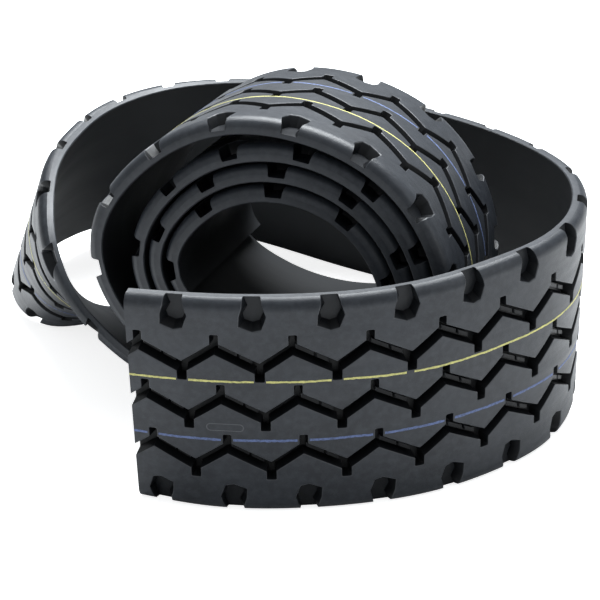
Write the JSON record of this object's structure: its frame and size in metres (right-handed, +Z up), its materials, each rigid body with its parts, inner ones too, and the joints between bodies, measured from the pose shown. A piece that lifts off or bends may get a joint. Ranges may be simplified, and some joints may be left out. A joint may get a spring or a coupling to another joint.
{
  "type": "precured tread strip",
  "caption": "Coil of precured tread rubber for retreading truck tyres, with three zigzag grooves, square shoulder pockets, release film and coloured marking lines.",
  "frame": {"origin": "centre of the coil's bounding box, on the floor it stands on", "axes": "+Z is up; +Y points away from the front of the loop, where the free end stands; +X runs from the free end's cut face along the front"},
  "size_m": [0.6396, 0.644, 0.3461],
  "materials": {
    "tread": "matte",
    "release_film": "satin",
    "yellow_line": "matte",
    "blue_line": "matte"
  },
  "bodies": {
    "coil": {"tread_flex_length": "tread", "tread_right_bend": "tread", "tread_back_run": "tread", "tread_left_bend": "tread", "tread_left_twist": "tread", "tread_turn_1_rising": "tread", "tread_turn_1_falling": "tread", "tread_turn_2_rising": "tread", "tread_turn_2_falling": "tread", "tread_turn_3_rising": "tread", "tread_turn_3_falling": "tread", "tread_turn_4": "tread", "release_film_flex_length": "release_film", "release_film_right_bend": "release_film", "release_film_back_run": "release_film", "release_film_left_bend": "release_film", "release_film_left_twist": "release_film", "release_film_turn_1_rising": "release_film", "release_film_turn_1_falling": "release_film", "release_film_turn_2_rising": "release_film", "release_film_turn_2_falling": "release_film", "release_film_turn_3_rising": "release_film", "release_film_turn_3_falling": "release_film", "release_film_turn_4": "release_film", "yellow_line_flex_length": "yellow_line", "yellow_line_right_bend": "yellow_line", "yellow_line_back_run": "yellow_line", "yellow_line_left_bend": "yellow_line", "yellow_line_left_twist": "yellow_line", "yellow_line_turn_1_rising": "yellow_line", "yellow_line_turn_1_falling": "yellow_line", "yellow_line_turn_2_rising": "yellow_line", "yellow_line_turn_2_falling": "yellow_line", "yellow_line_turn_3_rising": "yellow_line", "yellow_line_turn_3_falling": "yellow_line", "yellow_line_turn_4": "yellow_line", "blue_line_flex_length": "blue_line", "blue_line_right_bend": "blue_line", "blue_line_back_run": "blue_line", "blue_line_left_bend": "blue_line", "blue_line_left_twist": "blue_line", "blue_line_turn_1_rising": "blue_line", "blue_line_turn_1_falling": "blue_line", "blue_line_turn_2_rising": "blue_line", "blue_line_turn_2_falling": "blue_line", "blue_line_turn_3_rising": "blue_line", "blue_line_turn_3_falling": "blue_line", "blue_line_turn_4": "blue_line"},
    "tail": {"tread_free_end": "tread", "release_film_free_end": "release_film", "yellow_line_free_end": "yellow_line", "blue_line_free_end": "blue_line"}
  },
  "joints": [
    {"name": "tail_flex", "type": "hinge", "parent": "coil", "child": "tail", "pos_m": [0.1998, -0.23968, 0], "axis": [0, 0, 1], "range_deg": [0, 45], "stiffness_Nm_per_rad": 3.5, "deforming": ["tread_flex_length", "release_film_flex_length", "yellow_line_flex_length", "blue_line_flex_length"]}
  ]
}
